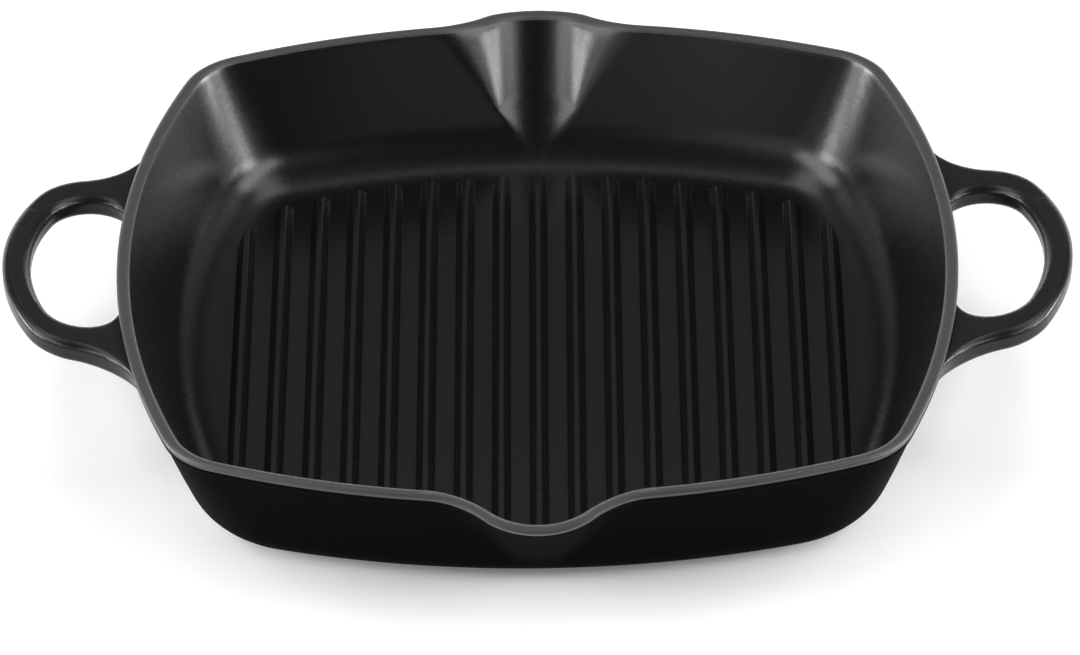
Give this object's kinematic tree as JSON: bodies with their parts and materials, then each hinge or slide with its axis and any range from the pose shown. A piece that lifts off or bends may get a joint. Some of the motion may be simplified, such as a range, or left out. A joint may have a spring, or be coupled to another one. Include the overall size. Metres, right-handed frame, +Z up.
{
  "type": "grill pan",
  "caption": "Square cast-iron grill pan with raised sear ribs, loop handles on opposite sides and pouring spouts front and back, in black enamel.",
  "frame": {"origin": "middle of the flat underside, where the pan stands", "axes": "+Z up, +X towards the right handle, +Y towards the back spout; the sear ribs run along Y"},
  "size_m": [0.382, 0.3286, 0.0514],
  "materials": {
    "body_enamel": "satin black enamel",
    "cooking_enamel": "matt black enamel"
  },
  "bodies": {
    "root": {"floor_plate": "cooking_enamel", "side_wall": "body_enamel", "rim_band": "body_enamel", "handle_left": "body_enamel", "handle_right": "body_enamel", "sear_rib_01": "cooking_enamel", "sear_rib_02": "cooking_enamel", "sear_rib_03": "cooking_enamel", "sear_rib_04": "cooking_enamel", "sear_rib_05": "cooking_enamel", "sear_rib_06": "cooking_enamel", "sear_rib_07": "cooking_enamel", "sear_rib_08": "cooking_enamel", "sear_rib_09": "cooking_enamel", "sear_rib_10": "cooking_enamel", "sear_rib_11": "cooking_enamel", "sear_rib_12": "cooking_enamel", "sear_rib_13": "cooking_enamel", "sear_rib_14": "cooking_enamel", "sear_rib_15": "cooking_enamel", "sear_rib_16": "cooking_enamel", "sear_rib_17": "cooking_enamel"}
  },
  "joints": []
}
